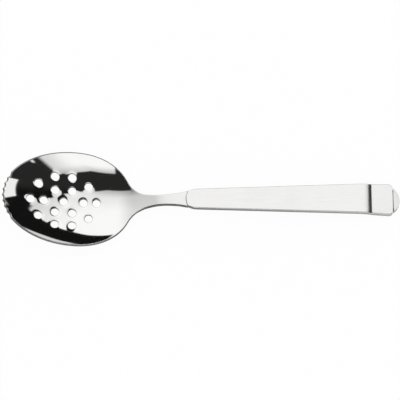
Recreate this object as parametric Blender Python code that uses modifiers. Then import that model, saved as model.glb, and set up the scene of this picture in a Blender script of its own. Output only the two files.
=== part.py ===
"""Perforated ice serving spoon with a hollow handle.

A pressed bowl, its neck and its tang are one piece of sheet steel. The hollow handle is two
pressed shells, one above and one below, and an end plug closes it. Sizes are in millimetres
and the finished objects are in metres. +X runs from the bowl's tip to the handle's end, +Z is up,
and the spoon lies on its bowl and on the foot of its end plug.
"""

import math

import bmesh
import bpy
from mathutils import Matrix, Vector

MM = 0.001

# Bowl
BOWL_FRONT = 42.8
BOWL_BACK = 35.8
BOWL_HALF_WIDTH = 29.4
OVAL_BACK = 34.5
OVAL_POWER = 2.15
BOWL_DEPTH = 8.8
BOWL_FULLNESS = 2.4
BOWL_SHEET = 1.5
RIM_SLOPE = 0.265

# Teeth on the tip of the bowl
TOOTH_COUNT = 8
TOOTH_DEPTH = 0.5
TOOTH_SPAN = 0.50
POINTS_PER_TOOTH = 6

# Drain holes, placed about the middle of their pattern
HOLE_RADIUS = 2.5
PATTERN_BEHIND_TIP = 36.1
AXIS_HOLE_OFFSETS = (-19.6, -11.8, 0.0, 11.8, 19.6)
COLUMN_OFFSET = 5.1
COLUMN_HOLE_SIDES = (6.9, 15.0)
OUTER_PAIR_OFFSET = 14.9
OUTER_PAIR_SIDE = 10.0
HOLE_SEGMENTS = 20

# Neck and tang
NECK_LENGTH = 31.9
NECK_THICK = 3.5
NECK_HALF_WIDTHS = (
    (-0.20, 13.6), (0.00, 7.3), (0.094, 5.35), (0.22, 3.9), (0.52, 3.0), (0.835, 3.7), (1.00, 4.75),
)
NECK_RISES = (
    (-0.56, -2.4), (-0.28, -2.0), (-0.12, -1.1), (0.00, 0.0),
    (0.22, 2.5), (0.45, 5.0), (0.75, 6.6), (1.00, 7.3),
)
HEEL_BLEND_BEFORE = 8.0
HEEL_BLEND_AFTER = 12.0
HEEL_BLEND_DELAY = 0.12
THICKENING_BEFORE = 6.0
THICKENING_AFTER = 8.0
HEEL_ROUND = 1.2
ELLIPSE_SHARE = 0.88
TANG_LENGTH = 30.0
TANG_HALF_WIDTH = 3.0
TANG_THICK = 2.8
TANG_ROOT = 4.0

# Handle
HANDLE_LENGTH = 129.0
HANDLE_THICK = 5.6
HANDLE_STEP = 0.8
HANDLE_SLOPE = 0.019
HALF_WIDTH_AT_MOUTH = 5.86
HALF_WIDTH_GROWTH = 0.0305
SHELL_WALL = 0.8
MOUTH_TAPER = 1.05
MOUTH_TAPER_LENGTH = 5.0
END_CORNER = 2.6
UPPER_EDGE_RADIUS = 1.0
LOWER_EDGE_RADIUS = 2.4
ROLL_BEFORE_END = 30.7
ROLL_LENGTH = 13.0
ROLL_DROP = 1.65
ROLL_POWER = 4

# End plug
PLUG_NOSE = 4.3
PLUG_SPIGOT = 7.0
PLUG_FOOT = 0.3
FACET_SLOPE = 0.75
NOSE_SEGMENTS = 20

# Room between pieces
JOINT_GAP = 0.3

# Steps of the curved surfaces
BLADE_STEP = 2.4
EDGE_STEPS = 4
BOWL_SIDE_STEPS = 18
NECK_STEPS = 24
STRAIGHT_STEPS = 6
ROLL_STEPS = 10
CORNER_SHARES = (0.0, 0.1, 0.3, 0.6, 1.0)
LIFT_STEPS = 400

# Spare size of the cutting shapes
CUT_MARGIN = 4.0

# Places along the spoon, measured from the tip
BOWL_LENGTH = BOWL_FRONT + BOWL_BACK
MOUTH_BEHIND_TIP = BOWL_LENGTH + NECK_LENGTH
TOTAL_LENGTH = MOUTH_BEHIND_TIP + HANDLE_LENGTH
TIP = -TOTAL_LENGTH / 2
BOWL_MIDDLE = TIP + BOWL_FRONT
HEEL = TIP + BOWL_LENGTH
MOUTH = TIP + MOUTH_BEHIND_TIP
NOSE_END = TOTAL_LENGTH / 2
SHELL_END = NOSE_END - PLUG_NOSE
ROLL_START = NOSE_END - ROLL_BEFORE_END
ROLL_END = ROLL_START + ROLL_LENGTH

# Height of the cutting shapes, well over the spoon's own
CUT_HEIGHT = 2 * BOWL_HALF_WIDTH


def clear_scene():
    """Remove what the scene already holds."""
    for item in list(bpy.data.objects):
        bpy.data.objects.remove(item, do_unlink=True)


def new_collection(name):
    """Make a collection and show it in the scene."""
    collection = bpy.data.collections.new(name)
    bpy.context.scene.collection.children.link(collection)
    return collection


def steel(name, colour, roughness):
    """Make a stainless steel material."""
    material = bpy.data.materials.new(name)
    material.use_nodes = True
    shader = material.node_tree.nodes["Principled BSDF"]
    shader.inputs["Base Color"].default_value = (*colour, 1.0)
    shader.inputs["Roughness"].default_value = roughness
    shader.inputs["Metallic"].default_value = 1.0
    return material


def smooth_step(value):
    """Ease from 0 to 1 as the value goes from 0 to 1."""
    held = min(max(value, 0.0), 1.0)
    return held * held * (3 - 2 * held)


def curve_through(points, place):
    """Read a smooth curve that passes through the given points."""
    if place <= points[0][0]:
        return points[0][1]
    slopes = []
    for index in range(len(points)):
        before = points[max(index - 1, 0)]
        after = points[min(index + 1, len(points) - 1)]
        slopes.append((after[1] - before[1]) / (after[0] - before[0]))
    for index in range(len(points) - 1):
        start, start_value = points[index]
        end, end_value = points[index + 1]
        if place <= end:
            span = end - start
            share = (place - start) / span
            rise = smooth_step(share)
            leave = share * (1 - share) ** 2 * span * slopes[index]
            arrive = share ** 2 * (share - 1) * span * slopes[index + 1]
            return start_value * (1 - rise) + end_value * rise + leave + arrive
    return points[-1][1]


def bowl_half_width(x):
    """Half width of the bowl's oval rim behind its widest place."""
    share = min((x - BOWL_MIDDLE) / OVAL_BACK, 1.0)
    return BOWL_HALF_WIDTH * (1 - share ** OVAL_POWER) ** (1 / OVAL_POWER)


def neck_half_width(x):
    """Half width of the neck, which is waisted and flares to the handle."""
    return curve_through(NECK_HALF_WIDTHS, (x - HEEL) / NECK_LENGTH)


def blade_half_width(x):
    """Half width behind the bowl's widest place: the wider of bowl and neck, with a rounded change."""
    bowl = bowl_half_width(x)
    neck = neck_half_width(x)
    start = HEEL + NECK_HALF_WIDTHS[0][0] * NECK_LENGTH
    rounding = HEEL_ROUND * smooth_step((x - start) / (HEEL - start))
    return (bowl + neck) / 2 + math.hypot((bowl - neck) / 2, rounding)


def neck_share(x, y):
    """How far the bowl has turned into the neck, from 0 to 1, later at the sides."""
    start = HEEL - HEEL_BLEND_BEFORE + HEEL_BLEND_DELAY * y * y
    return smooth_step((x - start) / (HEEL_BLEND_BEFORE + HEEL_BLEND_AFTER))


def blade_form(x, y):
    """Height of the bowl and neck above the rim at the bowl's widest place."""
    reach = BOWL_FRONT if x < BOWL_MIDDLE else BOWL_BACK
    radius = math.hypot((x - BOWL_MIDDLE) / reach, y / BOWL_HALF_WIDTH)
    rim = -RIM_SLOPE * (x - BOWL_MIDDLE)
    bowl = rim - BOWL_DEPTH * (1 - radius ** BOWL_FULLNESS)
    neck = -RIM_SLOPE * BOWL_BACK + curve_through(NECK_RISES, (x - HEEL) / NECK_LENGTH)
    share = neck_share(x, y)
    return bowl * (1 - share) + neck * share


def blade_sheet(x):
    """Thickness of the blade, thin in the bowl and thick in the neck."""
    start = HEEL - THICKENING_BEFORE
    share = smooth_step((x - start) / (THICKENING_BEFORE + THICKENING_AFTER))
    return BOWL_SHEET + (NECK_THICK - BOWL_SHEET) * share


def blade_lift():
    """Height that brings the lowest place under the bowl to zero."""
    places = [TIP + MOUTH_BEHIND_TIP * index / LIFT_STEPS for index in range(LIFT_STEPS + 1)]
    return -min(blade_form(x, 0.0) - blade_sheet(x) for x in places)


# Heights: the bowl's underside and the plug's foot both stand at zero
RIM_HEIGHT = blade_lift()
NECK_END_TOP = RIM_HEIGHT - RIM_SLOPE * BOWL_BACK + NECK_RISES[-1][1]
MOUTH_TOP = NECK_END_TOP + HANDLE_STEP
ROLL_TOP = MOUTH_TOP - HANDLE_SLOPE * (ROLL_START - MOUTH)
TIP_TOP = ROLL_TOP - HANDLE_SLOPE * ROLL_LENGTH - ROLL_DROP
END_TOP = HANDLE_THICK + PLUG_FOOT
TIP_SLOPE = (TIP_TOP - END_TOP) / (SHELL_END - ROLL_END)


def blade_top(x, y):
    """Height of the upper face of the bowl and neck."""
    return RIM_HEIGHT + blade_form(x, y)


def handle_top(x):
    """Height of the handle's upper face: straight, a roll down, then the tip."""
    if x <= ROLL_START:
        return MOUTH_TOP - HANDLE_SLOPE * (x - MOUTH)
    if x <= ROLL_END:
        along = x - ROLL_START
        return ROLL_TOP - HANDLE_SLOPE * along - ROLL_DROP * (along / ROLL_LENGTH) ** ROLL_POWER
    return TIP_TOP - TIP_SLOPE * (x - ROLL_END)


def corner_loss(distance, radius):
    """How far a rounded plan corner draws a side in, at a distance from the end."""
    inside = max(radius - distance, 0.0)
    return radius - math.sqrt(radius * radius - inside * inside)


def handle_half_width(x):
    """Half width of the handle, drawn in at its mouth and rounded at its end's plan corners."""
    straight = HALF_WIDTH_AT_MOUTH + HALF_WIDTH_GROWTH * (x - MOUTH)
    drawn_in = max(1 - (x - MOUTH) / MOUTH_TAPER_LENGTH, 0.0)
    return straight - MOUTH_TAPER * drawn_in ** 2 - corner_loss(SHELL_END - x, END_CORNER)


def place_mesh(name, mesh_builder, collection, material):
    """Turn a bmesh in millimetres into a named object in metres."""
    bmesh.ops.scale(mesh_builder, vec=(MM, MM, MM), verts=mesh_builder.verts)
    mesh = bpy.data.meshes.new(name)
    mesh_builder.to_mesh(mesh)
    mesh_builder.free()
    item = bpy.data.objects.new(name, mesh)
    collection.objects.link(item)
    if material is not None:
        mesh.materials.append(material)
    return item


def prism(name, outline, bottom, top, collection):
    """Make an upright prism on a plan outline."""
    builder = bmesh.new()
    corners = [builder.verts.new((x, y, bottom)) for x, y in outline]
    base = builder.faces.new(corners)
    grown = bmesh.ops.extrude_face_region(builder, geom=[base])
    raised = [part for part in grown["geom"] if isinstance(part, bmesh.types.BMVert)]
    bmesh.ops.translate(builder, vec=(0, 0, top - bottom), verts=raised)
    bmesh.ops.recalc_face_normals(builder, faces=builder.faces)
    return place_mesh(name, builder, collection, None)


def combine(item, other, operation):
    """Cut, keep or join one object with another."""
    change = item.modifiers.new(operation.lower(), "BOOLEAN")
    change.operation = operation
    change.solver = "EXACT"
    change.object = other
    other.hide_render = True
    other.display_type = "WIRE"


def settle(item):
    """Keep the shape that an object's modifiers make and drop the modifiers."""
    bpy.context.view_layer.update()
    graph = bpy.context.evaluated_depsgraph_get()
    mesh = bpy.data.meshes.new_from_object(item.evaluated_get(graph))
    item.modifiers.clear()
    item.data = mesh


def tip_outline():
    """Outline of the front half of the bowl, with teeth round the tip."""
    points = []
    plain = math.pi / 2 - TOOTH_SPAN
    for index in range(BOWL_SIDE_STEPS):
        points.append((-math.pi / 2 + plain * index / BOWL_SIDE_STEPS, 0.0))
    steps = TOOTH_COUNT * POINTS_PER_TOOTH
    for index in range(steps + 1):
        turn = -TOOTH_SPAN + 2 * TOOTH_SPAN * index / steps
        gullet = abs(math.sin(math.pi * index / POINTS_PER_TOOTH))
        points.append((turn, TOOTH_DEPTH * gullet))
    for index in range(1, BOWL_SIDE_STEPS + 1):
        points.append((TOOTH_SPAN + plain * index / BOWL_SIDE_STEPS, 0.0))
    outline = []
    for turn, bite in points:
        x = BOWL_MIDDLE - (BOWL_FRONT - bite) * math.cos(turn)
        y = (BOWL_HALF_WIDTH - bite) * math.sin(turn)
        outline.append((x, y))
    return outline


def side_outline():
    """Plan points of one side from the bowl's widest place to the mouth."""
    join = BOWL_MIDDLE + BOWL_BACK * ELLIPSE_SHARE
    points = []
    for index in range(1, BOWL_SIDE_STEPS + 1):
        turn = math.asin(ELLIPSE_SHARE) * index / BOWL_SIDE_STEPS
        x = BOWL_MIDDLE + BOWL_BACK * math.sin(turn)
        points.append((x, blade_half_width(x)))
    end = MOUTH - JOINT_GAP
    for index in range(1, NECK_STEPS + 1):
        x = join + (end - join) * index / NECK_STEPS
        points.append((x, blade_half_width(x)))
    return points


def hole_places():
    """Plan centres of the drain holes."""
    middle = TIP + PATTERN_BEHIND_TIP
    places = [(middle + offset, 0.0) for offset in AXIS_HOLE_OFFSETS]
    for way in (-1, 1):
        for side in (-1, 1):
            for distance in COLUMN_HOLE_SIDES:
                places.append((middle + way * COLUMN_OFFSET, side * distance))
            places.append((middle + way * OUTER_PAIR_OFFSET, side * OUTER_PAIR_SIDE))
    return places


def build_blade(parts, cutters, material):
    """Bowl, neck and tang in one piece of sheet."""
    length = MOUTH - TIP + 2 * CUT_MARGIN
    width = 2 * (BOWL_HALF_WIDTH + CUT_MARGIN)
    builder = bmesh.new()
    bmesh.ops.create_grid(
        builder,
        x_segments=round(length / BLADE_STEP),
        y_segments=round(width / BLADE_STEP),
        size=0.5,
    )
    weights = builder.verts.layers.deform.verify()
    for vert in builder.verts:
        x = TIP - CUT_MARGIN + (vert.co.x + 0.5) * length
        y = vert.co.y * width
        vert.co = Vector((x, y, blade_top(x, y)))
        vert[weights][0] = blade_sheet(x) / NECK_THICK
    blade = place_mesh("bowl_neck_tang", builder, parts, material)
    group = blade.vertex_groups.new(name="sheet")
    thicken = blade.modifiers.new("sheet", "SOLIDIFY")
    thicken.thickness = NECK_THICK * MM
    thicken.offset = -1.0
    thicken.vertex_group = group.name

    sides = side_outline()
    outline = tip_outline()
    outline += sides
    outline += [(x, -y) for x, y in reversed(sides)]
    blank = prism("blank_outline", outline, -CUT_HEIGHT, CUT_HEIGHT, cutters)
    combine(blade, blank, "INTERSECT")

    holes = bmesh.new()
    for x, y in hole_places():
        bmesh.ops.create_cone(
            holes,
            cap_ends=True,
            segments=HOLE_SEGMENTS,
            radius1=HOLE_RADIUS,
            radius2=HOLE_RADIUS,
            depth=2 * CUT_HEIGHT,
            matrix=Matrix.Translation((x, y, 0)),
        )
    combine(blade, place_mesh("drain_holes", holes, cutters, None), "DIFFERENCE")

    start = MOUTH - TANG_ROOT
    end = MOUTH + TANG_LENGTH
    tang = bmesh.new()
    bmesh.ops.create_cube(tang, size=1.0)
    for vert in tang.verts:
        x = start + (vert.co.x + 0.5) * (end - start)
        middle = handle_top(x) - HANDLE_THICK / 2
        vert.co = Vector((x, 2 * vert.co.y * TANG_HALF_WIDTH, middle + vert.co.z * TANG_THICK))
    combine(blade, place_mesh("tang", tang, cutters, None), "UNION")
    settle(blade)
    return blade


def shell_section(x, upper, inset):
    """One half of the handle's section, from one side seam round to the other."""
    half_width = handle_half_width(x) - inset
    way = 1 if upper else -1
    edge = (UPPER_EDGE_RADIUS if upper else LOWER_EDGE_RADIUS) - inset
    edge = max(edge, JOINT_GAP)
    middle = handle_top(x) - HANDLE_THICK / 2
    seam = JOINT_GAP / 2
    face = HANDLE_THICK / 2 - inset
    quarter = []
    for index in range(EDGE_STEPS + 1):
        turn = math.pi / 2 * index / EDGE_STEPS
        across = half_width - edge + edge * math.cos(turn)
        up = face - edge + edge * math.sin(turn)
        quarter.append((across, up))
    right = [(half_width, seam)] + quarter
    left = [(-across, up) for across, up in reversed(right)]
    return [(x, across, middle + way * up) for across, up in right + left]


def shell_stations():
    """Places along the handle where the shells' section is set out."""
    places = [MOUTH + MOUTH_TAPER_LENGTH * share for share in CORNER_SHARES]
    straight_start = MOUTH + MOUTH_TAPER_LENGTH
    for index in range(1, STRAIGHT_STEPS + 1):
        places.append(straight_start + (ROLL_START - straight_start) * index / STRAIGHT_STEPS)
    for index in range(1, ROLL_STEPS + 1):
        places.append(ROLL_START + ROLL_LENGTH * index / ROLL_STEPS)
    places += [SHELL_END - END_CORNER * share for share in reversed(CORNER_SHARES)]
    return places


def build_shell(name, upper, parts, material):
    """One pressed half of the hollow handle, with an even wall."""
    builder = bmesh.new()
    rings = []
    for x in shell_stations():
        outer = [builder.verts.new(point) for point in shell_section(x, upper, 0.0)]
        inner = [builder.verts.new(point) for point in shell_section(x, upper, SHELL_WALL)]
        rings.append(outer + inner[::-1])
    count = len(rings[0])
    for ring, following in zip(rings, rings[1:]):
        for index in range(count):
            after = (index + 1) % count
            builder.faces.new((ring[index], ring[after], following[after], following[index]))
    half = count // 2
    for ring in (rings[0], rings[-1]):
        for index in range(half - 1):
            mate = count - 1 - index
            builder.faces.new((ring[index], ring[index + 1], ring[mate - 1], ring[mate]))
    bmesh.ops.recalc_face_normals(builder, faces=builder.faces)
    return place_mesh(name, builder, parts, material)


def build_end_plug(parts, cutters, material):
    """Nose that closes the handle, with a slanted facet, a flat foot and a spigot."""
    half_chord = handle_half_width(SHELL_END)
    start = SHELL_END + JOINT_GAP
    reach = NOSE_END - start
    radius = (half_chord ** 2 + reach ** 2) / (2 * reach)
    spread = math.asin(min(half_chord / radius, 1.0))
    outline = []
    for index in range(NOSE_SEGMENTS + 1):
        turn = -spread + 2 * spread * index / NOSE_SEGMENTS
        outline.append((NOSE_END - radius + radius * math.cos(turn), radius * math.sin(turn)))
    nose = prism("end_plug", outline, 0.0, END_TOP, parts)
    nose.data.materials.append(material)

    facet = bmesh.new()
    bmesh.ops.create_cube(facet, size=1.0)
    for vert in facet.verts:
        x = start + 2 * vert.co.x * (reach + CUT_MARGIN)
        y = 2 * vert.co.y * (half_chord + CUT_MARGIN)
        base = END_TOP - FACET_SLOPE * (x - start)
        vert.co = Vector((x, y, base + (vert.co.z + 0.5) * CUT_HEIGHT))
    combine(nose, place_mesh("facet", facet, cutters, None), "DIFFERENCE")

    spigot = bmesh.new()
    bmesh.ops.create_cube(spigot, size=1.0)
    room = SHELL_WALL + JOINT_GAP
    half_height = HANDLE_THICK / 2 - room
    half_width = half_chord - room - LOWER_EDGE_RADIUS / 2
    back = SHELL_END - PLUG_SPIGOT
    front = start + JOINT_GAP
    for vert in spigot.verts:
        x = back + (vert.co.x + 0.5) * (front - back)
        middle = handle_top(x) - HANDLE_THICK / 2
        vert.co = Vector((x, 2 * vert.co.y * half_width, middle + 2 * vert.co.z * half_height))
    combine(nose, place_mesh("spigot", spigot, cutters, None), "UNION")
    settle(nose)
    return nose


def shade_smooth_by_angle(item, limit):
    """Shade an object smooth and keep its sharp edges."""
    item.data.shade_smooth()
    item.data.set_sharp_from_angle(angle=limit)


def main():
    """Build the spoon's pieces."""
    clear_scene()
    parts = new_collection("ice_serving_spoon")
    cutters = new_collection("cutters")
    polished = steel("polished_steel", (0.80, 0.80, 0.79), 0.08)
    satin_upper = steel("satin_upper", (0.78, 0.78, 0.77), 0.28)
    satin_lower = steel("satin_lower", (0.76, 0.76, 0.75), 0.30)
    plug_steel = steel("plug_steel", (0.74, 0.74, 0.73), 0.22)
    pieces = [
        build_blade(parts, cutters, polished),
        build_shell("handle_upper_shell", True, parts, satin_upper),
        build_shell("handle_lower_shell", False, parts, satin_lower),
        build_end_plug(parts, cutters, plug_steel),
    ]
    for piece in pieces:
        shade_smooth_by_angle(piece, math.radians(35))


main()
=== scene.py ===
"""Looks of a perforated ice serving spoon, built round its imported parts.

Sizes are in millimetres, and become metres where a mesh is made.
"""

import logging
import math
from dataclasses import dataclass
from enum import Enum
from typing import Any, Optional, Union

import bmesh
import bpy
import numpy as np
from mathutils import Matrix, Vector
from mathutils.geometry import delaunay_2d_cdt

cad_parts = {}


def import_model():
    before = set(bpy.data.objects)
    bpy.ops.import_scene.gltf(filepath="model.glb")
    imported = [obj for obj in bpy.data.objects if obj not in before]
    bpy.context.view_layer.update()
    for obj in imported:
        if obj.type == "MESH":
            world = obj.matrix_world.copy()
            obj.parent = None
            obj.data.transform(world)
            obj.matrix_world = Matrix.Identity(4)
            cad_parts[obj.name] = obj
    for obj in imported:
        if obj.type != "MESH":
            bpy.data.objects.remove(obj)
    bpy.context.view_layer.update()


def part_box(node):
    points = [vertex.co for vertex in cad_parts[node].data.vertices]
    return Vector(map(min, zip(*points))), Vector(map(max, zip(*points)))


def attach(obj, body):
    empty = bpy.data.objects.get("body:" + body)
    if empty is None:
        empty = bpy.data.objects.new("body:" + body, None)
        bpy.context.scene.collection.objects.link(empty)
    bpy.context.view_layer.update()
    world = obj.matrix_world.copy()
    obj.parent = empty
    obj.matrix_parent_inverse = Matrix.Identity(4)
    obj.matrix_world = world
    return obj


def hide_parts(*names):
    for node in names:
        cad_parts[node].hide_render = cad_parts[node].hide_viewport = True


MM = 0.001
BODY = "root"
EDGE_WEAR = "edge_wear"
WHITE = (1.0, 1.0, 1.0, 1.0)
LOG = logging.getLogger("spoon")

# Settings of the triangle fill, and socket numbers of the node that mixes colours
FILL_INSIDE_ONLY = 1
FILL_WELD = 1e-5
MIX_SHARE = 0
MIX_FIRST = 6
MIX_SECOND = 7
MIX_RESULT = 2

Array = np.ndarray
Material = bpy.types.Material
Mesh = bpy.types.Mesh
Node = bpy.types.Node
Piece = bpy.types.Object
Socket = bpy.types.NodeSocket
Pairs = tuple[tuple[float, float], ...]
Edges = list[tuple[int, int]]
Triple = tuple[float, float, float]


# Node trees

class Term:
    """A socket that takes part in written maths."""

    def __init__(self, bench: "NodeBench", socket: Socket) -> None:
        """Keep the socket and the bench that builds its tree."""
        self.bench = bench
        self.socket = socket

    def __add__(self, other: "Number") -> "Term":
        """Sum of two values."""
        return self.bench.math("ADD", self, other)

    def __sub__(self, other: "Number") -> "Term":
        """Difference of two values."""
        return self.bench.math("SUBTRACT", self, other)

    def __rsub__(self, other: "Number") -> "Term":
        """Difference, with this value taken away."""
        return self.bench.math("SUBTRACT", other, self)

    def __mul__(self, other: "Number") -> "Term":
        """Product of two values."""
        return self.bench.math("MULTIPLY", self, other)

    def __truediv__(self, other: "Number") -> "Term":
        """Quotient of two values."""
        return self.bench.math("DIVIDE", self, other)

    __radd__ = __add__
    __rmul__ = __mul__


Number = Union[Term, float]


class NodeBench:
    """Adds nodes to one tree and links them."""

    def __init__(self, tree: bpy.types.NodeTree) -> None:
        """Keep the tree that the nodes go into."""
        self.tree = tree

    def node(
        self,
        kind: str,
        settings: Optional[dict[str, Any]] = None,
        sockets: Optional[dict[Any, Any]] = None,
    ) -> Node:
        """Add a node, set it up and feed its sockets.

        Args:
            kind: Blender's name for the node type.
            settings: The node's own options, set first.
            sockets: Values or links for its inputs, by name or number.

        Returns:
            The new node.
        """
        node = self.tree.nodes.new(kind)
        for name, value in (settings or {}).items():
            setattr(node, name, value)
        for name, value in (sockets or {}).items():
            self.feed(node.inputs[name], value)
        return node

    def feed(self, socket: Socket, value: Any) -> None:
        """Link a socket to a term or another socket, or set its value.

        Args:
            socket: The input to feed.
            value: A term, an output socket or a plain value.
        """
        if isinstance(value, Term):
            self.tree.links.new(value.socket, socket)
        elif isinstance(value, Socket):
            self.tree.links.new(value, socket)
        else:
            socket.default_value = value

    def term(self, kind: str, output: Any = 0, **parts: Any) -> Term:
        """Add a node, with its settings and sockets, and give one of its outputs as a term."""
        return Term(self, self.node(kind, **parts).outputs[output])

    def math(self, operation: str, *values: Number) -> Term:
        """Work out one operation on terms or plain numbers."""
        sockets = dict(enumerate(values))
        return self.term("ShaderNodeMath", settings={"operation": operation}, sockets=sockets)

    def ease(self, value: Number, start: Number, end: Number) -> Term:
        """Rise smoothly from 0 to 1 as a value goes from start to end."""
        parts = {"Value": value, "From Min": start, "From Max": end}
        return self.term(
            "ShaderNodeMapRange", settings={"interpolation_type": "SMOOTHSTEP"}, sockets=parts)

    def held(self, value: Number) -> Term:
        """Hold a value between 0 and 1."""
        return self.term("ShaderNodeClamp", sockets={"Value": value, "Min": 0.0, "Max": 1.0})

    def mixed_colour(self, share: Term, first: Any, second: Any) -> Socket:
        """Mix two colours by the share of the second."""
        parts = {MIX_SHARE: share, MIX_FIRST: first, MIX_SECOND: second}
        return self.node("ShaderNodeMix", {"data_type": "RGBA"}, parts).outputs[MIX_RESULT]

    def blended(self, share: Any, first: Node, second: Node) -> Node:
        """Mix two shaders by the share of the second."""
        return self.node("ShaderNodeMixShader", sockets={
            0: share, 1: first.outputs[0], 2: second.outputs[0]})


class GeometryTree(NodeBench):
    """A geometry node tree with named inputs for its sizes."""

    def __init__(self, name: str) -> None:
        """Make the tree with a geometry that goes in and one that comes out.

        Args:
            name: Name of the tree.
        """
        super().__init__(bpy.data.node_groups.new(name, "GeometryNodeTree"))
        for way in ("INPUT", "OUTPUT"):
            self.tree.interface.new_socket("Geometry", in_out=way, socket_type="NodeSocketGeometry")
        self.entry = self.node("NodeGroupInput")
        self.values: dict[str, Any] = {}

    def named(self, name: str, value: Any, kind: str = "NodeSocketFloat") -> Term:
        """Add a named input.

        Args:
            name: Name that the input shows.
            value: The value that this build uses.
            kind: Blender's name for the socket type.

        Returns:
            The input as a term.
        """
        item = self.tree.interface.new_socket(name, in_out="INPUT", socket_type=kind)
        self.values[item.identifier] = value
        return Term(self, self.entry.outputs[name])

    def sizes(self, owner: Any, *names: str) -> list[Term]:
        """Add a named input for each of an owner's sizes."""
        return [self.named(name.replace("_", " ").title(), getattr(owner, name)) for name in names]

    def mesh(self, geometry: Any, material: Material, base: Mesh) -> Mesh:
        """Close the tree, run it on a base mesh and keep the result as a plain mesh.

        Args:
            geometry: Socket with the geometry that the tree has made.
            material: Material for its faces.
            base: Mesh that goes in.

        Returns:
            The mesh that comes out.
        """
        finish = self.named("Finish", material, "NodeSocketMaterial")
        real = self.node("GeometryNodeRealizeInstances", sockets={"Geometry": geometry})
        dressed = self.node(
            "GeometryNodeSetMaterial",
            sockets={"Geometry": real.outputs["Geometry"], "Material": finish},
        )
        self.node("NodeGroupOutput", sockets={"Geometry": dressed.outputs["Geometry"]})
        holder = place_object(self.tree.name, base)
        change = holder.modifiers.new(self.tree.name, "NODES")
        change.node_group = self.tree
        for identifier, value in self.values.items():
            change[identifier] = value
        return settled_mesh(holder)


# Meshes

def place_object(name: str, mesh: Mesh) -> Piece:
    """Put a mesh into the scene.

    Args:
        name: Name of the object.
        mesh: Its mesh.

    Returns:
        The object, at the origin.
    """
    item = bpy.data.objects.new(name, mesh)
    bpy.context.scene.collection.objects.link(item)
    return item


def settled_mesh(holder: Piece) -> Mesh:
    """Keep what an object's modifiers make and remove the object.

    Args:
        holder: Object with live modifiers.

    Returns:
        The result as a plain mesh.
    """
    bpy.context.view_layer.update()
    graph = bpy.context.evaluated_depsgraph_get()
    mesh = bpy.data.meshes.new_from_object(holder.evaluated_get(graph))
    bpy.data.objects.remove(holder, do_unlink=True)
    return mesh


def smooth_step(value: Array) -> Array:
    """Ease from 0 to 1 as the values go from 0 to 1."""
    held = np.clip(value, 0.0, 1.0)
    return held * held * (3 - 2 * held)


def curve_through(points: Pairs, place: Array) -> Array:
    """Read a smooth curve that passes through the given points.

    Args:
        points: Places and their values, in order.
        place: Places to read.

    Returns:
        The curve's values, level beyond both ends.
    """
    places, heights = np.array(points).T
    before = np.maximum(np.arange(len(places)) - 1, 0)
    after = np.minimum(np.arange(len(places)) + 1, len(places) - 1)
    slopes = (heights[after] - heights[before]) / (places[after] - places[before])
    held = np.clip(place, places[0], places[-1])
    index = np.clip(np.searchsorted(places, held, side="right") - 1, 0, len(places) - 2)
    span = places[index + 1] - places[index]
    share = (held - places[index]) / span
    rise = smooth_step(share)
    leave = share * (1 - share) ** 2 * span * slopes[index]
    arrive = share ** 2 * (share - 1) * span * slopes[index + 1]
    return heights[index] * (1 - rise) + heights[index + 1] * rise + leave + arrive


def round_drop(distance: Array, radius: Array) -> Array:
    """How far a quarter round lies below its edge at distances in from it."""
    inside = np.clip(radius - distance, 0.0, radius)
    return radius - np.sqrt(radius * radius - inside * inside)


def distance_to_line(points: Array, line: Array) -> Array:
    """Distance of plan points from an open line.

    Args:
        points: Plan points, one in each row.
        line: Corners of the line, in order.

    Returns:
        Distance of each point.
    """
    nearest = np.full(len(points), np.inf)
    for start, end in zip(line, line[1:]):
        way = end - start
        share = np.clip((points - start) @ way / (way @ way), 0.0, 1.0)
        gap = points - start - share[:, None] * way
        nearest = np.minimum(nearest, np.einsum("ij,ij->i", gap, gap))
    return np.sqrt(nearest)


def inside_loop(points: Array, loop: Array) -> Array:
    """Tell which plan points lie inside a closed outline.

    Args:
        points: Plan points, one in each row.
        loop: Corners of the outline, in order.

    Returns:
        True for each point inside.
    """
    inside = np.zeros(len(points), bool)
    for start, end in zip(loop, np.roll(loop, -1, axis=0)):
        if start[1] == end[1]:
            continue
        passed = (start[1] > points[:, 1]) != (end[1] > points[:, 1])
        crossing = start[0] + (end[0] - start[0]) * (points[:, 1] - start[1]) / (end[1] - start[1])
        inside ^= passed & (points[:, 0] < crossing)
    return inside


def triangles(points: Array, edges: Edges) -> tuple[Array, Array, Array]:
    """Fill a flat outline with even triangles.

    Args:
        points: Plan points, one in each row.
        edges: Pairs of points that the triangles keep as edges.

    Returns:
        The plan points that are used, three of them for each triangle, and their numbers before.
    """
    corners = [Vector(point) for point in points]
    used, _, faces, before, *_ = delaunay_2d_cdt(corners, edges, [], FILL_INSIDE_ONLY, FILL_WELD)
    numbers = np.array([names[0] for names in before])
    return np.array([tuple(point) for point in used]), np.array(faces), numbers


def closed_ring(first: int, count: int) -> Edges:
    """Edges that join points with following numbers into a closed ring."""
    return [(first + index, first + (index + 1) % count) for index in range(count)]


def store_wear(mesh: Mesh, wear: Array) -> None:
    """Keep how near each point is to an edge, for the finish to read."""
    mesh.attributes.new(EDGE_WEAR, "FLOAT", "POINT").data.foreach_set("value", wear.astype(np.float32))


def close_piece(name: str, mesh: Mesh, sharp: float) -> Piece:
    """Turn a mesh's faces outwards, shade it and put it into the scene.

    Args:
        name: Name of the piece.
        mesh: A closed mesh in metres.
        sharp: Angle in degrees above which an edge stays sharp.

    Returns:
        The piece.
    """
    builder = bmesh.new()
    builder.from_mesh(mesh)
    bmesh.ops.recalc_face_normals(builder, faces=builder.faces)
    builder.to_mesh(mesh)
    builder.free()
    mesh.shade_smooth()
    mesh.set_sharp_from_angle(angle=math.radians(sharp))
    return place_object(name, mesh)


# Bowl, neck and tang

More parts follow.
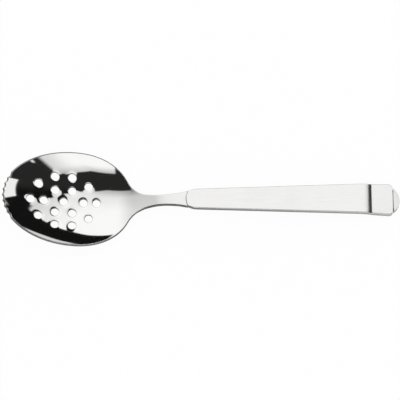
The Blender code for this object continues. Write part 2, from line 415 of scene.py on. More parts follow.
@dataclass(frozen=True)
class DrainHoles:
    """Pattern of punched holes, with edges that are drawn in a little."""

    radius: float = 2.5
    middle_behind_tip: float = 36.1
    axis_offsets: tuple[float, ...] = (-19.6, -11.8, 0.0, 11.8, 19.6)
    column_offset: float = 5.1
    column_sides: tuple[float, ...] = (6.9, 15.0)
    outer_offset: float = 14.9
    outer_side: float = 10.0
    edge_round: float = 0.22
    dish_width: float = 1.7
    dish_depth: float = 0.15
    foot_round: float = 0.15
    cut_share: float = 0.999
    segments: int = 56
    ring_distances: tuple[float, ...] = (0.01, 0.04, 0.09, 0.15, 0.22, 0.4, 0.65, 0.95, 1.25)

    def places(self, tip: float) -> Array:
        """Plan centres of the holes.

        Args:
            tip: Place of the bowl's tip along the spoon.

        Returns:
            One row for each hole.
        """
        middle = tip + self.middle_behind_tip
        centres = [(middle + offset, 0.0) for offset in self.axis_offsets]
        for way in (-1, 1):
            for side in (-1, 1):
                column = middle + way * self.column_offset
                centres += [(column, side * across) for across in self.column_sides]
                centres.append((middle + way * self.outer_offset, side * self.outer_side))
        return np.array(centres)

    def rings(self, tip: float, material: Material) -> Mesh:
        """Set out rings of points round every hole.

        Args:
            tip: Place of the bowl's tip along the spoon.
            material: Finish of the hole's edge, a cut steel whose darker tone is partly painted shade.

        Returns:
            A flat mesh of rings, in millimetres.
        """
        tree = GeometryTree("drain_hole_rings")
        radius = tree.named("Hole Radius", self.radius)
        count = tree.named("Segments", self.segments, "NodeSocketInt")
        joined = tree.node("GeometryNodeJoinGeometry")
        for distance in (0.0, *self.ring_distances):
            sizes = {"Vertices": count, "Radius": radius + distance}
            ring = tree.node("GeometryNodeMeshCircle", sockets=sizes)
            tree.feed(joined.inputs["Geometry"], ring.outputs["Mesh"])
        placed = tree.node(
            "GeometryNodeInstanceOnPoints",
            sockets={"Points": tree.entry.outputs["Geometry"], "Instance": joined.outputs["Geometry"]},
        )
        base = bpy.data.meshes.new("drain_hole_centres")
        base.from_pydata([(x, y, 0.0) for x, y in self.places(tip)], [], [])
        return tree.mesh(placed.outputs["Instances"], material, base)

    def away(self, plan: Array, tip: float) -> Array:
        """Distance of plan points from the middle of every hole, one column each."""
        way = plan[:, None, :] - self.places(tip)[None, :, :]
        return np.hypot(way[..., 0], way[..., 1])

    def gap(self, plan: Array, tip: float) -> Array:
        """Distance of plan points from the edge of every hole, one column each."""
        return np.maximum(self.away(plan, tip) - self.radius, 0.0)

    def cut(self, plan: Array, tip: float) -> Array:
        """Tell which plan points are punched out."""
        return self.away(plan, tip).min(axis=1) <= self.radius * self.cut_share

    def top_drop(self, gap: Array) -> Array:
        """How far the sheet is drawn in round the holes, at distances from their edges."""
        dish = self.dish_depth * np.clip(1 - gap / self.dish_width, 0.0, 1.0) ** 2
        return dish.sum(axis=1) + round_drop(gap.min(axis=1), self.edge_round)


@dataclass(frozen=True)
class Blade:
    """Bowl, neck and tang, pressed and forged from one sheet."""

    tip: float
    gap_to_handle: float = 0.3
    front: float = 42.8
    back: float = 35.8
    half_width: float = 29.4
    depth: float = 8.8
    fullness: float = 2.4
    rim_slope: float = 0.265
    reach_blend: float = 12.0
    bowl_sheet: float = 1.5
    tooth_count: int = 8
    tooth_depth: float = 0.75
    tooth_span: float = 0.50
    points_per_tooth: int = 16
    neck_length: float = 31.9
    neck_thick: float = 3.5
    neck_half_widths: Pairs = (
        (-0.20, 13.6), (0.0, 7.3), (0.094, 5.35), (0.22, 3.75), (0.52, 2.68), (0.835, 3.45), (1.0, 4.75))
    neck_rises: Pairs = (
        (-0.56, -2.4), (-0.28, -2.0), (-0.12, -1.1), (0.0, 0.0),
        (0.22, 2.5), (0.45, 5.0), (0.75, 6.6), (1.0, 7.3))
    blend_before: float = 8.0
    blend_after: float = 12.0
    blend_delay: float = 0.12
    thickening_before: float = 6.0
    thickening_after: float = 8.0
    heel_round: float = 1.2
    ellipse_share: float = 0.88
    oval_back: float = 34.5
    oval_power: float = 2.15
    lip: float = 0.8
    rim_sheet: float = 1.8
    rim_round: float = 0.15
    neck_round: float = 0.55
    foot_round: float = 0.6
    lean_reach: float = 6.0
    mouth_curve: float = 0.054
    mouth_recess: float = 0.3
    mouth_reach: float = 8.0
    wear_reach: float = 1.6
    tang_length: float = 30.0
    tang_half_width: float = 3.0
    tang_thick: float = 2.8
    step: float = 0.8
    bowl_steps: int = 84
    neck_steps: int = 64
    round_shares: tuple[float, ...] = (0.05, 0.19, 0.41, 0.69, 1.0, 1.45, 2.1)
    lift_steps: int = 400
    slope_nudge: float = 0.01
    end_points: int = 6
    ring_keep: float = 0.96
    weld: float = 1e-4
    sharp_angle: float = 50.0
    holes: DrainHoles = DrainHoles()

    @property
    def rim_front(self) -> float:
        """Reach of the inner edge of the rim in front of the bowl's widest place."""
        return self.front - self.lip

    @property
    def rim_half_width(self) -> float:
        """Half width of the inner edge of the rim."""
        return self.half_width - self.lip

    @property
    def middle(self) -> float:
        """Place of the bowl's greatest width."""
        return self.tip + self.front

    @property
    def heel(self) -> float:
        """Place where the bowl's oval ends."""
        return self.middle + self.back

    @property
    def mouth(self) -> float:
        """Place where the handle starts."""
        return self.heel + self.neck_length

    @property
    def end(self) -> float:
        """Place where the neck ends, just before the handle."""
        return self.mouth - self.gap_to_handle

    def neck_share(self, x: Array, y: Array) -> Array:
        """How far the bowl has turned into the neck, from 0 to 1, later at the sides."""
        start = self.heel - self.blend_before + self.blend_delay * y * y
        return smooth_step((x - start) / (self.blend_before + self.blend_after))

    def form(self, x: Array, y: Array) -> Array:
        """Height of the upper face above the rim at the bowl's widest place.

        Args:
            x: Places along the spoon.
            y: Places across it.

        Returns:
            The heights.
        """
        turned = smooth_step((x - self.middle + self.reach_blend) / (2 * self.reach_blend))
        reach = self.rim_front + (self.back - self.rim_front) * turned
        radius = np.hypot((x - self.middle) / reach, y / self.rim_half_width)
        bowl = -self.rim_slope * (x - self.middle) - self.depth * (1 - radius ** self.fullness)
        rise = curve_through(self.neck_rises, (x - self.heel) / self.neck_length)
        neck = rise - self.rim_slope * self.back
        share = self.neck_share(x, y)
        return bowl * (1 - share) + neck * share

    def sheet(self, x: Array, y: Array) -> Array:
        """Thickness of the sheet, thin in the bowl and thick in the neck."""
        start = self.heel - self.thickening_before + self.blend_delay * y * y
        share = smooth_step((x - start) / (self.thickening_before + self.thickening_after))
        return self.bowl_sheet + (self.neck_thick - self.bowl_sheet) * share

    def lift(self) -> float:
        """Height that brings the lowest place under the bowl to zero."""
        x = np.linspace(self.tip, self.mouth, self.lift_steps)
        middle = np.zeros_like(x)
        return -float(np.min(self.form(x, middle) - self.sheet(x, middle)))

    def neck_end_top(self) -> float:
        """Height of the neck's upper face at the handle."""
        return self.lift() - self.rim_slope * self.back + self.neck_rises[-1][1]

    def side(self, x: Array) -> Array:
        """Half width of the outline behind the bowl's widest place.

        Args:
            x: Places along the spoon.

        Returns:
            The half widths.
        """
        share = np.clip((x - self.middle) / self.oval_back, 0.0, 1.0)
        oval = self.rim_half_width * (1 - share ** self.oval_power) ** (1 / self.oval_power)
        neck = curve_through(self.neck_half_widths, (x - self.heel) / self.neck_length)
        start = self.heel + self.neck_half_widths[0][0] * self.neck_length
        rounding = self.heel_round * smooth_step((x - start) / (self.heel - start))
        return (oval + neck) / 2 + np.hypot((oval - neck) / 2, rounding)

    def edge_line(self) -> Array:
        """Edge of the sheet from one corner of the neck round the tip to the other.

        Returns:
            Plan points in order.
        """
        plain = math.pi / 2 - self.tooth_span
        steps = self.tooth_count * self.points_per_tooth
        index = np.arange(steps + 1)
        lead = np.linspace(-math.pi / 2, -self.tooth_span, self.bowl_steps, endpoint=False)
        tail = np.linspace(self.tooth_span, self.tooth_span + plain, self.bowl_steps + 1)[1:]
        turn = np.concatenate((lead, -self.tooth_span + 2 * self.tooth_span * index / steps, tail))
        bite = np.zeros_like(turn)
        gullets = np.abs(np.sin(math.pi * index / self.points_per_tooth))
        bite[len(lead):len(lead) + steps + 1] = self.tooth_depth * gullets
        front = np.column_stack((
            self.middle - (self.rim_front - bite) * np.cos(turn),
            (self.rim_half_width - bite) * np.sin(turn),
        ))
        angles = np.linspace(0.0, math.asin(self.ellipse_share), self.bowl_steps)[1:]
        bowl_x = self.middle + self.back * np.sin(angles)
        neck_x = np.linspace(bowl_x[-1], self.end, self.neck_steps)[1:]
        side_x = np.concatenate((bowl_x, neck_x))
        side = np.column_stack((side_x, self.side(side_x)))
        return np.concatenate((side[::-1] * (1, -1), front, side))

    def round_radius(self, x: Array, y: Array) -> Array:
        """Radius of the rounded edge, small on the rim and larger on the neck."""
        return self.rim_round + (self.neck_round - self.rim_round) * self.neck_share(x, y)

    def plan_points(self, line: Array, rings: Mesh) -> tuple[Array, Edges]:
        """Set out the points of the flat blank.

        Args:
            line: Edge of the sheet.
            rings: Rings of points round the holes.

        Returns:
            Plan points, and the pairs of them that are edges.
        """
        near = self.step / 3
        clear = self.step / 2
        across = line[-1][1]
        shares = np.array(self.round_shares)
        marks = across - self.neck_round * shares
        between = np.linspace(marks[-1], -marks[-1], self.end_points)[1:-1]
        end_y = np.concatenate((marks, between, -marks[::-1]))
        end_line = np.column_stack((np.full(len(end_y), self.end), end_y))
        loop = np.concatenate((line, end_line))
        edges = closed_ring(0, len(loop))

        hole_points = np.array([tuple(vert.co)[:2] for vert in rings.vertices])
        edges += [(len(loop) + edge.vertices[0], len(loop) + edge.vertices[1]) for edge in rings.edges]

        along = np.roll(line, -1, axis=0) - np.roll(line, 1, axis=0)
        along[0] = line[1] - line[0]
        along[-1] = line[-1] - line[-2]
        inward = np.column_stack((along[:, 1], -along[:, 0])) / np.linalg.norm(along, axis=1)[:, None]
        loose = []
        for share in shares:
            depth = self.round_radius(*line.T) * share
            ring = line + inward * depth[:, None]
            kept = distance_to_line(ring, line) > self.ring_keep * depth
            kept &= inside_loop(ring, loop) & (ring[:, 0] < self.end - near)
            loose.append(ring[kept])

        low = line.min(axis=0)
        high = line.max(axis=0)
        rows = np.arange(low[1], high[1], self.step * math.sqrt(3) / 2)
        columns = np.arange(low[0], high[0], self.step)
        x, y = np.meshgrid(columns, rows)
        x[1::2] += clear
        field = np.column_stack((x.ravel(), y.ravel()))
        field = field[inside_loop(field, loop)]
        rounded = self.round_radius(*field.T) * shares[-1]
        field = field[distance_to_line(field, line) > rounded + clear]
        hole_gap = self.holes.gap(field, self.tip).min(axis=1)
        field = field[hole_gap > self.holes.ring_distances[-1] + near]
        field = field[field[:, 0] < self.end - clear]
        return np.concatenate((loop, hole_points, *loose, field)), edges

    def build(self, polished: Material, cut_edge_with_painted_shade: Material) -> Piece:
        """Press the flat blank into the bowl and neck, and add the tang.

        Args:
            polished: Finish of the two faces.
            cut_edge_with_painted_shade: Finish of the rim and the holes' walls, a cut steel whose darker
                tone is partly painted shade.

        Returns:
            The blade as one closed piece.
        """
        line = self.edge_line()
        points, edges = self.plan_points(line, self.holes.rings(self.tip, cut_edge_with_painted_shade))
        plan, faces, _ = triangles(points, edges)
        centres = plan[faces].mean(axis=1)
        faces = faces[~self.holes.cut(centres, self.tip)]

        at_end = plan[:, 0] > self.end - self.weld
        edge_gap = distance_to_line(plan, line)
        plan[:, 0] += self.mouth_bend(*plan.T)
        x, y = plan.T
        hole_gap = self.holes.gap(plan, self.tip)
        nudge = self.slope_nudge
        slope_x = (self.form(x + nudge, y) - self.form(x - nudge, y)) / (2 * nudge)
        slope_y = (self.form(x, y + nudge) - self.form(x, y - nudge)) / (2 * nudge)
        length = np.sqrt(1 + slope_x ** 2 + slope_y ** 2)
        near_rim = 1 - smooth_step(edge_gap / self.lean_reach)
        lean = near_rim * (1 - self.neck_share(x, y))
        square = np.column_stack((-slope_x, -slope_y, np.ones_like(x))) / length[:, None]
        upright = np.column_stack((np.zeros_like(x), np.zeros_like(x), length))
        inward = square * lean[:, None] + upright * (1 - lean[:, None])

        thick = self.sheet(x, y) + (self.rim_sheet - self.bowl_sheet) * lean
        top_depth = round_drop(edge_gap, self.round_radius(x, y)) + self.holes.top_drop(hole_gap)
        foot_depth = thick - round_drop(edge_gap, np.full_like(x, self.foot_round))
        foot_depth -= round_drop(hole_gap.min(axis=1), self.holes.foot_round)
        face = np.column_stack((x, y, self.lift() + self.form(x, y)))
        top = face - inward * top_depth[:, None]
        foot = face - inward * foot_depth[:, None]
        foot[:, 2] = np.maximum(foot[:, 2], 0.0)
        nearest = np.minimum(edge_gap, hole_gap.min(axis=1))
        return self.closed_piece(top, foot, faces, at_end, nearest, (polished, cut_edge_with_painted_shade))

    def mouth_bend(self, x: Array, y: Array) -> Array:
        """How far the neck's end is moved along, to follow the handle's curved mouth."""
        near = smooth_step((x - self.end) / self.mouth_reach + 1)
        return (self.mouth_curve * y * y - self.mouth_recess) * near

    def closed_piece(
        self,
        top: Array,
        foot: Array,
        faces: Array,
        at_end: Array,
        nearest: Array,
        finishes: tuple[Material, Material],
    ) -> Piece:
        """Join the two faces of the sheet with walls, and grow the tang from the neck's end.

        Args:
            top: Points of the upper face.
            foot: Points of the lower face.
            faces: Triangles on them.
            at_end: True for the points at the neck's end.
            nearest: Distance of each point from an edge.
            finishes: Finish of the faces, and of the walls, whose darker tone is partly painted shade.

        Returns:
            The closed piece.
        """
        count = len(top)
        points = np.concatenate((top, foot))
        polygons = [tuple(face) for face in faces]
        polygons += [tuple(face[::-1] + count) for face in faces]
        finish_of = [0] * len(polygons)
        directed = {(int(face[i]), int(face[(i + 1) % 3])) for face in faces for i in range(3)}
        for start, end in directed:
            if (end, start) in directed or (at_end[start] and at_end[end]):
                continue
            polygons.append((end, start, start + count, end + count))

        corners = np.flatnonzero(at_end)
        corners = corners[np.argsort(top[corners, 1])]
        loop = np.concatenate((corners, corners[::-1] + count))
        root = self.tang_corners(self.end)
        far = self.tang_corners(self.mouth + self.tang_length)
        first = len(points)
        points = np.concatenate((points, root, far))
        sides = len(root)
        ring = closed_ring(0, len(loop)) + closed_ring(len(loop), sides)
        names = np.concatenate((loop, first + np.arange(sides)))
        _, fills, before = triangles(points[names][:, 1:], ring)
        shoulder = [before[face] for face in fills if before[face].min() < len(loop)]
        polygons += [tuple(names[face].tolist()) for face in shoulder]
        for start, end in closed_ring(first, sides):
            polygons.append((start, end, end + sides, start + sides))
        polygons.append(tuple(range(first + sides, first + 2 * sides)))
        finish_of += [1] * (len(polygons) - len(finish_of))

        mesh = bpy.data.meshes.new("bowl_and_neck")
        mesh.from_pydata((points * MM).tolist(), [], polygons)
        for finish in finishes:
            mesh.materials.append(finish)
        mesh.polygons.foreach_set("material_index", finish_of)
        wear = np.clip(1 - nearest / self.wear_reach, 0.0, 1.0)
        store_wear(mesh, np.concatenate((wear, wear, np.zeros(2 * sides))))
        return close_piece("bowl_and_neck", mesh, self.sharp_angle)

    def tang_corners(self, x: float) -> Array:
        """Four corners of the tang's section.

        Args:
            x: Place along the spoon.

        Returns:
            The corners in order.
        """
        form = HandleForm(self)
        middle = form.top_at(x) - form.thick / 2
        half = self.tang_thick / 2
        wide = self.tang_half_width
        return np.array([(x, wide, middle + half), (x, -wide, middle + half),
                         (x, -wide, middle - half), (x, wide, middle - half)])


# Hollow handle

@dataclass(frozen=True)
class HandleForm:
    """Sizes that the two shells and the end plug share."""

    blade: Blade
    length: float = 129.0
    thick: float = 5.6
    step_up: float = 0.8
    slope: float = 0.019
    mouth_half_width: float = 5.86
    growth: float = 0.0305
    mouth_taper: float = 1.05
    mouth_taper_length: float = 5.0
    end_corner: float = 2.6
    roll_end_before_nose: float = 17.3
    roll_length: float = 13.0
    roll_drop: float = 1.75
    roll_power: float = 4.0
    nose: float = 4.3
    foot: float = 0.3

    @property
    def nose_end(self) -> float:
        """Place of the handle's far end."""
        return self.blade.mouth + self.length

    @property
    def shell_end(self) -> float:
        """Place where the shells end and the plug's nose starts."""
        return self.nose_end - self.nose

    @property
    def roll_end(self) -> float:
        """Place of the crease after the roll."""
        return self.nose_end - self.roll_end_before_nose

    @property
    def mouth_top(self) -> float:
        """Height of the handle's upper face at its mouth."""
        return self.blade.neck_end_top() + self.step_up

    @property
    def end_top(self) -> float:
        """Height of the upper face where the shells end."""
        return self.thick + self.foot

    @property
    def tip_slope(self) -> float:
        """Slope of the face between the crease and the plug."""
        crease = self.mouth_top - self.slope * (self.roll_end - self.blade.mouth) - self.roll_drop
        return (crease - self.end_top) / (self.shell_end - self.roll_end)

    def top_at(self, x: float) -> float:
        """Height of the upper face.

        Args:
            x: Place along the spoon.

        Returns:
            The height.
        """
        rolled = min(max((x - self.roll_end) / self.roll_length + 1, 0.0), 1.0)
        straight = self.mouth_top - self.slope * (min(x, self.roll_end) - self.blade.mouth)
        past = max(x - self.roll_end, 0.0)
        return straight - self.roll_drop * rolled ** self.roll_power - self.tip_slope * past

    def end_half_width(self) -> float:
        """Half width of the shells' end, inside its rounded plan corners."""
        widened = self.growth * (self.shell_end - self.blade.mouth)
        return self.mouth_half_width + widened - self.end_corner


class ShellSide(Enum):
    """Which half of the handle a shell is."""

    UPPER = 1.0
    LOWER = -1.0


@dataclass(frozen=True)
class HandleShell:
    """One pressed half of the hollow handle."""

    name: str
    form: HandleForm
    side: ShellSide
    edge_radius: float
    wall: float = 0.8
    half_seam: float = 0.15
    mouth_round: float = 0.35
    end_round: float = 0.2
    wear_reach: float = 1.2
    stations: int = 300
    points_across: int = 73
    end_crowding: float = 0.85
    flat_share: float = 0.4
    arc_share: float = 0.45
    sharp_angle: float = 32.0

    def outer_face(self, material: Material) -> Mesh:
        """Make the shell's outer face from its section, station by station.

        Args:
            material: Finish of the shell.

        Returns:
            An open sheet in millimetres.
        """
        form = self.form
        tree = GeometryTree(self.name + "_face")
        mouth = tree.named("Mouth", form.blade.mouth)
        length = tree.named("Length", form.shell_end - form.blade.mouth)
        half_thick = tree.named("Half Thickness", form.thick / 2)
        way = tree.named("Way", self.side.value)
        radius, mouth_round, end_round, half_seam = tree.sizes(
            self, "edge_radius", "mouth_round", "end_round", "half_seam")
        mouth_width, growth, taper, taper_length, end_corner = tree.sizes(
            form, "mouth_half_width", "growth", "mouth_taper", "mouth_taper_length", "end_corner")
        mouth_top, slope, roll_end, roll_length, roll_drop, roll_power, tip_slope = tree.sizes(
            form, "mouth_top", "slope", "roll_end", "roll_length", "roll_drop", "roll_power", "tip_slope")
        mouth_reach, mouth_curve, mouth_recess = tree.sizes(
            form.blade, "mouth_reach", "mouth_curve", "mouth_recess")
        counts = {
            "Size X": 1.0,
            "Size Y": 1.0,
            "Vertices X": tree.named("Stations", self.stations, "NodeSocketInt"),
            "Vertices Y": tree.named("Points Across", self.points_across, "NodeSocketInt"),
        }
        grid = tree.node("GeometryNodeMeshGrid", sockets=counts)
        place = tree.node("GeometryNodeInputPosition").outputs["Position"]
        parts = tree.node("ShaderNodeSeparateXYZ", sockets={"Vector": place})
        share = Term(tree, parts.outputs["X"]) + 0.5
        across = Term(tree, parts.outputs["Y"]) * 2.0

        full_turn = 2 * math.pi
        crowd = tree.math("SINE", share * full_turn) * (self.end_crowding / full_turn)
        along = length * (share - crowd)
        left = length - along
        x = mouth + along

        rounding = self.corner_loss(tree, along, mouth_round) + self.corner_loss(tree, left, end_round)
        drawn_in = tree.held(1.0 - along / taper_length)
        half_width = mouth_width + along * growth - rounding - drawn_in * drawn_in * taper
        half_width = half_width - self.corner_loss(tree, left, end_corner)

        rolled = tree.math("POWER", tree.held((x - roll_end) / roll_length + 1.0), roll_power)
        straight = tree.math("MINIMUM", x, roll_end) - mouth
        past = tree.math("MAXIMUM", x - roll_end, 0.0)
        top = mouth_top - straight * slope - rolled * roll_drop - past * tip_slope

        outward = tree.math("ABSOLUTE", across)
        turn_start = self.flat_share
        turn_end = self.flat_share + self.arc_share
        flat = tree.held(outward * (1 / turn_start))
        turn = tree.held((outward - turn_start) * (1 / self.arc_share)) * (math.pi / 2)
        side = tree.held((outward - turn_end) * (1 / (1 - turn_end)))
        reach = (half_width - radius) * flat + radius * tree.math("SINE", turn)
        y = reach * tree.math("SIGN", across) * way
        wall = half_thick - radius - half_seam
        rise = half_thick - rounding - radius + radius * tree.math("COSINE", turn) - wall * side
        z = top - half_thick + rise * way
        near_mouth = 1.0 - tree.ease(along, 0.0, mouth_reach)
        bend = (y * y * mouth_curve - mouth_recess) * near_mouth

        bent = 1.0 - tree.math("ABSOLUTE", turn * (4 / math.pi) - 1.0)
        near_end = 1.0 - tree.math("MINIMUM", along, left) * (1 / self.wear_reach)
        wear = tree.held(tree.math("MAXIMUM", bent, near_end))
        marked = tree.node(
            "GeometryNodeStoreNamedAttribute",
            settings={"data_type": "FLOAT", "domain": "POINT"},
            sockets={"Geometry": grid.outputs["Mesh"], "Name": EDGE_WEAR, "Value": wear},
        )
        spot = tree.term("ShaderNodeCombineXYZ", sockets={"X": x + bend, "Y": y, "Z": z})
        shaped = tree.node(
            "GeometryNodeSetPosition",
            sockets={"Geometry": marked.outputs["Geometry"], "Position": spot},
        )
        return tree.mesh(shaped.outputs["Geometry"], material, bpy.data.meshes.new(self.name + "_start"))

    @staticmethod
    def corner_loss(tree: GeometryTree, distance: Term, radius: Term) -> Term:
        """How far a round draws a side in at a distance from the end."""
        inside = tree.math("MAXIMUM", radius - distance, 0.0)
        return radius - tree.math("SQRT", radius * radius - inside * inside)

    def build(self, material: Material) -> Piece:
        """Give the outer face its wall.

        Args:
            material: Finish of the shell.

        Returns:
            The shell as one closed piece.
        """
        mesh = self.outer_face(material)
        mesh.transform(Matrix.Scale(MM, 4))
        holder = place_object(self.name + "_wall", mesh)
        wall = holder.modifiers.new("wall", "SOLIDIFY")
        wall.thickness = self.wall * MM
        wall.offset = -1.0
        return close_piece(self.name, settled_mesh(holder), self.sharp_angle)


@dataclass(frozen=True)
class EndPlug:
    """Nose that closes the handle, with a slanted facet, a foot and a spigot."""

    form: HandleForm
    gap: float = 0.4
    facet_slope: float = 0.75
    spigot_length: float = 7.0
    shell_wall: float = 0.8
    spigot_side_room: float = 0.9
    segments: int = 56
    edge_bevel: float = 0.16
    bevel_segments: int = 3
    bevel_angle: float = 25.0
    wear_reach: float = 0.7
    sharp_angle: float = 40.0

    def nose(self) -> bmesh.types.BMesh:
        """Half-moon nose, cut off by the slanted facet.

        Returns:
            The nose in millimetres.
        """
        start = self.form.shell_end + self.gap
        reach = self.form.nose_end - start
        half_chord = self.form.end_half_width()
        radius = (half_chord ** 2 + reach ** 2) / (2 * reach)
        spread = math.asin(half_chord / radius)
        builder = bmesh.new()
        corners = []
        for index in range(self.segments + 1):
            turn = -spread + 2 * spread * index / self.segments
            x = self.form.nose_end - radius + radius * math.cos(turn)
            corners.append(builder.verts.new((x, radius * math.sin(turn), 0.0)))
        base = builder.faces.new(corners)
        grown = bmesh.ops.extrude_face_region(builder, geom=[base])
        raised = [part for part in grown["geom"] if isinstance(part, bmesh.types.BMVert)]
        bmesh.ops.translate(builder, vec=(0, 0, self.form.end_top), verts=raised)
        cut = bmesh.ops.bisect_plane(
            builder,
            geom=[*builder.verts, *builder.edges, *builder.faces],
            plane_co=(start, 0, self.form.end_top),
            plane_no=(self.facet_slope, 0, 1),
            clear_outer=True,
        )
        rim = [part for part in cut["geom_cut"] if isinstance(part, bmesh.types.BMEdge)]
        bmesh.ops.holes_fill(builder, edges=rim)
        bmesh.ops.recalc_face_normals(builder, faces=builder.faces)
        return builder

    def spigot(self) -> bmesh.types.BMesh:
        """Block that goes into the shells.

        Returns:
            The block in millimetres.
        """
        room = self.shell_wall + self.gap
        half_height = self.form.thick / 2 - room
        half_width = self.form.end_half_width() - room - self.spigot_side_room
        back = self.form.shell_end - self.spigot_length
        front = self.form.shell_end + 2 * self.gap
        builder = bmesh.new()
        bmesh.ops.create_cube(builder, size=1.0)
        for vert in builder.verts:
            x = back + (vert.co.x + 0.5) * (front - back)
            middle = self.form.top_at(x) - self.form.thick / 2
            vert.co = Vector((x, 2 * vert.co.y * half_width, middle + 2 * vert.co.z * half_height))
        return builder

    def build(self, material: Material) -> Piece:
        """Join the nose and the spigot, and break the edges.

        Args:
            material: Finish of the plug.

        Returns:
            The plug as one closed piece.
        """
        holders = []
        for name, builder in (("plug_nose", self.nose()), ("plug_spigot", self.spigot())):
            bmesh.ops.scale(builder, vec=(MM, MM, MM), verts=builder.verts)
            mesh = bpy.data.meshes.new(name)
            builder.to_mesh(mesh)
            builder.free()
            mesh.materials.append(material)
            holders.append(place_object(name, mesh))
        joined = holders[0].modifiers.new("spigot", "BOOLEAN")
        joined.operation = "UNION"
        joined.solver = "EXACT"
        joined.object = holders[1]
        bevel = holders[0].modifiers.new("broken_edges", "BEVEL")
        bevel.width = self.edge_bevel * MM
        bevel.segments = self.bevel_segments
        bevel.limit_method = "ANGLE"
        bevel.angle_limit = math.radians(self.bevel_angle)
        mesh = settled_mesh(holders[0])
        bpy.data.objects.remove(holders[1], do_unlink=True)
        start = self.form.shell_end + self.gap
        heights = np.array([tuple(vert.co) for vert in mesh.vertices]) / MM
        facet = self.form.end_top - self.facet_slope * (heights[:, 0] - start)
        store_wear(mesh, np.clip(1 - np.abs(facet - heights[:, 2]) / self.wear_reach, 0.0, 1.0))
        return close_piece("nose_plug", mesh, self.sharp_angle)


# Finishes

@dataclass(frozen=True)
class SteelFinish:
    """A stainless steel surface with its grain, cloudiness and worn edges."""

    name: str
    colour: float
    grain_colour: float
    worn_colour: float
    roughness: float
    grain_roughness: float
    grain_scale: Triple
    grain_height: float
    worn_roughness: float = 0.03
    grain_detail: float = 5.0
    grain_breakup: float = 0.6
    grain_share: float = 0.65
    cloud_scale: float = 60.0
    cloud_detail: float = 3.0
    cloud_breakup: float = 0.5
    cloud_on_wear: float = 0.5
    wear_limits: tuple[float, float] = (0.55, 1.1)
    tone_limits: tuple[float, float] = (0.3, 0.7)
    tint: Triple = (1.004, 1.0, 0.986)

    def tinted(self, tone: float) -> tuple[float, ...]:
        """Colour of a tone, with the slight warmth of the steel."""
        return (*(tone * part for part in self.tint), 1.0)

    def material(self) -> Material:
        """Build the node material.

        Returns:
            The material.
        """
        made = bpy.data.materials.new(self.name)
        made.use_nodes = True
        bench = NodeBench(made.node_tree)
        shader = made.node_tree.nodes["Principled BSDF"]
        place = bench.node("ShaderNodeTexCoord").outputs["Object"]
        stretched = bench.term("ShaderNodeMapping", sockets={"Vector": place, "Scale": self.grain_scale})
        grain = bench.term("ShaderNodeTexNoise", sockets={
            "Vector": stretched, "Scale": 1.0,
            "Detail": self.grain_detail, "Roughness": self.grain_breakup})
        cloud = bench.term("ShaderNodeTexNoise", sockets={
            "Vector": place, "Scale": self.cloud_scale,
            "Detail": self.cloud_detail, "Roughness": self.cloud_breakup})
        wear = bench.term("ShaderNodeAttribute", "Fac", settings={"attribute_name": EDGE_WEAR})
        worn = bench.ease(wear + (cloud - 0.5) * self.cloud_on_wear, *self.wear_limits)
        mottled = grain * self.grain_share + cloud * (1 - self.grain_share)
        tone = bench.ease(mottled, *self.tone_limits)
        grained = bench.mixed_colour(tone, self.tinted(self.colour), self.tinted(self.grain_colour))
        coloured = bench.mixed_colour(worn, grained, self.tinted(self.worn_colour))
        rough = tone * self.grain_roughness + worn * self.worn_roughness + self.roughness
        bump = bench.node("ShaderNodeBump", sockets={
            "Strength": 1.0, "Distance": self.grain_height, "Height": grain})
        bench.feed(shader.inputs["Base Color"], coloured)
        bench.feed(shader.inputs["Roughness"], rough)
        bench.feed(shader.inputs["Normal"], bump.outputs["Normal"])
        shader.inputs["Metallic"].default_value = 1.0
        return made


MIRROR_POLISH = SteelFinish(
    name="mirror_polish", colour=0.86, grain_colour=0.84,
    worn_colour=0.80, roughness=0.035, grain_roughness=0.02, worn_roughness=0.05,
    grain_scale=(240.0, 900.0, 900.0), grain_height=4e-8)
# Cut steel of the rim and the holes' walls, rougher than the polish; its darker tone is partly the cut
# metal and partly painted shade along the rim and inside the holes.
CUT_EDGE_WITH_PAINTED_SHADE = SteelFinish(
    name="cut_edge_with_painted_shade", colour=0.62, grain_colour=0.52,
    worn_colour=0.68, roughness=0.12, grain_roughness=0.08,
    grain_scale=(1500.0, 1500.0, 5000.0), grain_height=1e-6)
SATIN_UPPER = SteelFinish(
    name="satin_upper", colour=0.90, grain_colour=0.85,
    worn_colour=0.84, roughness=0.14, grain_roughness=0.05,
    grain_scale=(45.0, 3200.0, 3200.0), grain_height=3e-7)
SATIN_LOWER = SteelFinish(
    name="satin_lower", colour=0.80, grain_colour=0.74,
    worn_colour=0.72, roughness=0.24, grain_roughness=0.07,
    grain_scale=(45.0, 3200.0, 3200.0), grain_height=4e-7)
GROUND_PLUG = SteelFinish(
    name="ground_plug", colour=0.82, grain_colour=0.76,
    worn_colour=0.80, roughness=0.10, grain_roughness=0.05,
    grain_scale=(2600.0, 60.0, 2600.0), grain_height=4e-7)


# Studio

@dataclass(frozen=True)
class SoftEdge:
    """One soft edge of a light panel, as a line that directions lie before or past.

    A fade is an edge that leaves a share of the light before the line.
    """

    toward: Triple
    start: float
    soft: float = 0.02
    least: float = 0.0


@dataclass(frozen=True)
class LightPanel:
    """A pale panel of the studio that the steel mirrors."""

    strength: float
    edges: tuple[SoftEdge, ...]


# Directions in the studio, with the handle to the right and the camera at the front
RIGHT = (1.0, 0.0, 0.0)
LEFT = (-1.0, 0.0, 0.0)
BACK = (0.0, 1.0, 0.0)
FRONT = (0.0, -1.0, 0.0)
UP = (0.0, 0.0, 1.0)
DOWN = (0.0, 0.0, -1.0)

CARD_LIGHT = 1.1
CARD_SLANT = (-1.0, -0.35, 0.0)
CARD_SIDES = (
    SoftEdge(CARD_SLANT, -0.4575, 0.035),
    SoftEdge(CARD_SLANT, -0.30, 0.14, 0.72),
    SoftEdge(RIGHT, -0.26),
    SoftEdge(FRONT, 0.34),
    SoftEdge(UP, 0.33, 0.04),
)


